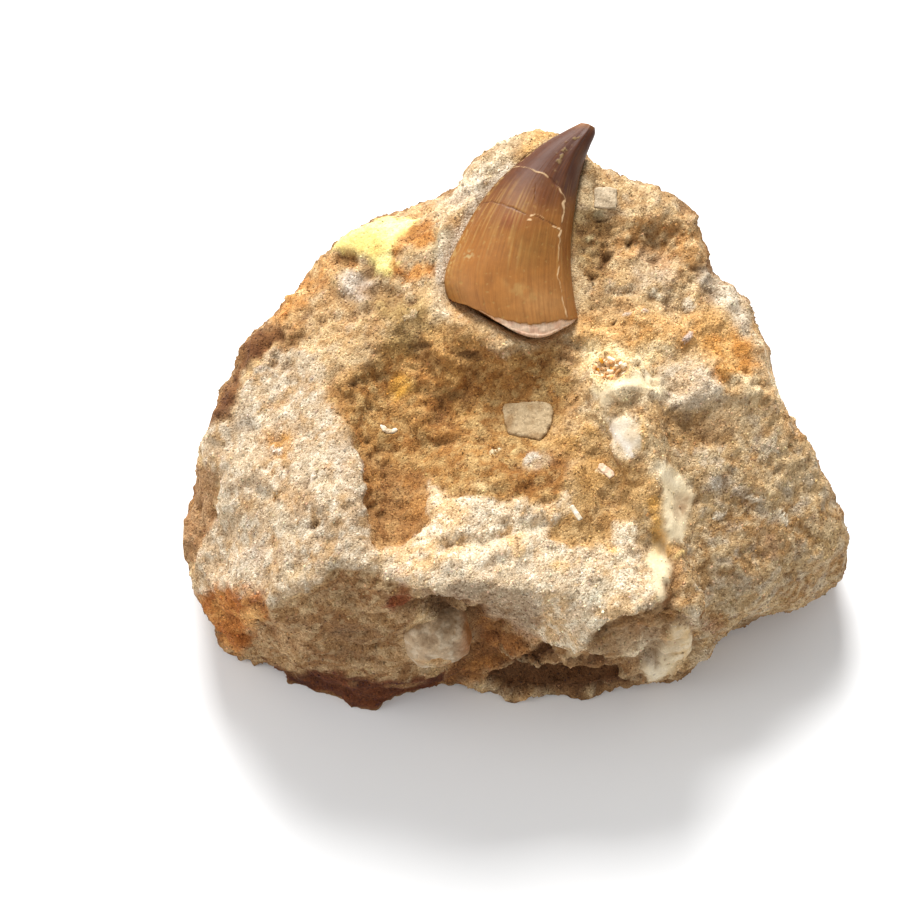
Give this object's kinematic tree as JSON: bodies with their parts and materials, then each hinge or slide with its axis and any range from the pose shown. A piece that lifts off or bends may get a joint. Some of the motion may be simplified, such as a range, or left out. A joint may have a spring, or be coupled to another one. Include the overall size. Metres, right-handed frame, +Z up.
{
  "type": "fossil mosasaur tooth in rock matrix",
  "caption": "Curved brown fossil mosasaur tooth crown lying in relief on an irregular block of buff and ochre phosphatic sandstone, with small bone and shell fragments in it.",
  "frame": {"origin": "centre of the specimen's extent in X and Y, on the level of the flat face that the block rests on", "axes": "+X along the block's length, +Y from the low front lip to the high back rim that the crown's tip points at, +Z up from the resting face"},
  "size_m": [0.1022, 0.0806, 0.0477],
  "materials": {
    "matrix": "rough phosphatic sandstone, pale buff with ochre and rust stains",
    "tooth_enamel": "glossy brown fossil enamel with fine lengthwise lines",
    "bone_chip": "matt cream mineralised bone",
    "nodule": "smooth translucent calcite nodule",
    "white_spine": "smooth off-white mineralised fragment",
    "bone_splinter": "matt pinkish mineralised bone",
    "shell_fragment": "satin white shell",
    "grey_clast": "matt grey sandstone"
  },
  "bodies": {
    "root": {"matrix": "matrix", "tooth": "tooth_enamel", "bone_chip": "bone_chip", "nodule": "nodule", "white_spine": "white_spine", "bone_splinter": "bone_splinter", "shell_fragment": "shell_fragment", "grey_clast": "grey_clast"}
  },
  "joints": []
}
